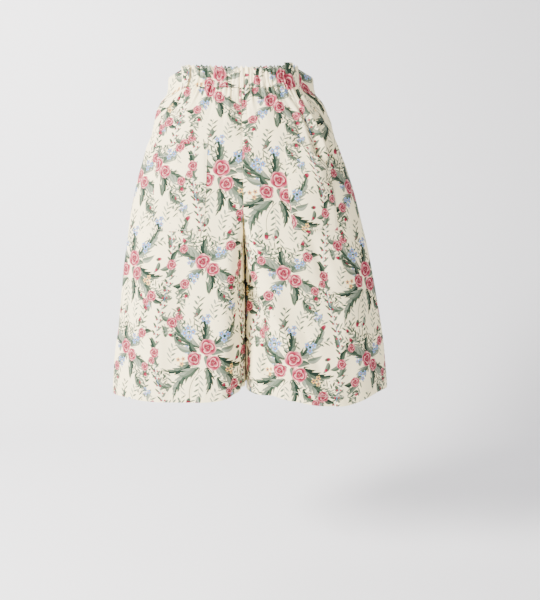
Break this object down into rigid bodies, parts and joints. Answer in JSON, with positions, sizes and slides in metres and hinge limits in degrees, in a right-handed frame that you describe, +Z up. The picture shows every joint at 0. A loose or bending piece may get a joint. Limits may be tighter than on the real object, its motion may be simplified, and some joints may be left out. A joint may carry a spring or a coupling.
{
  "type": "culottes",
  "caption": "Wide-legged knee-length cotton culottes in worn shape, with a gathered elastic back waist, patch pockets on the back and belt loops.",
  "frame": {"origin": "centre of the waist, half way up the waistband at its sides, where the wearer's waist holds the garment", "axes": "+Z up, the back of the garment faces +Y, the wearer's left is +X"},
  "size_m": [0.5707, 0.2611, 0.6586],
  "materials": {
    "printed_cotton": "matt cream cotton with a floral print"
  },
  "bodies": {
    "root": {"back_leg_left": "printed_cotton", "back_leg_right": "printed_cotton", "front_leg_left": "printed_cotton", "front_leg_right": "printed_cotton", "waistband_back": "printed_cotton", "waistband_front": "printed_cotton", "pocket_left": "printed_cotton", "pocket_right": "printed_cotton", "belt_loop_left": "printed_cotton", "belt_loop_right": "printed_cotton"}
  },
  "joints": []
}
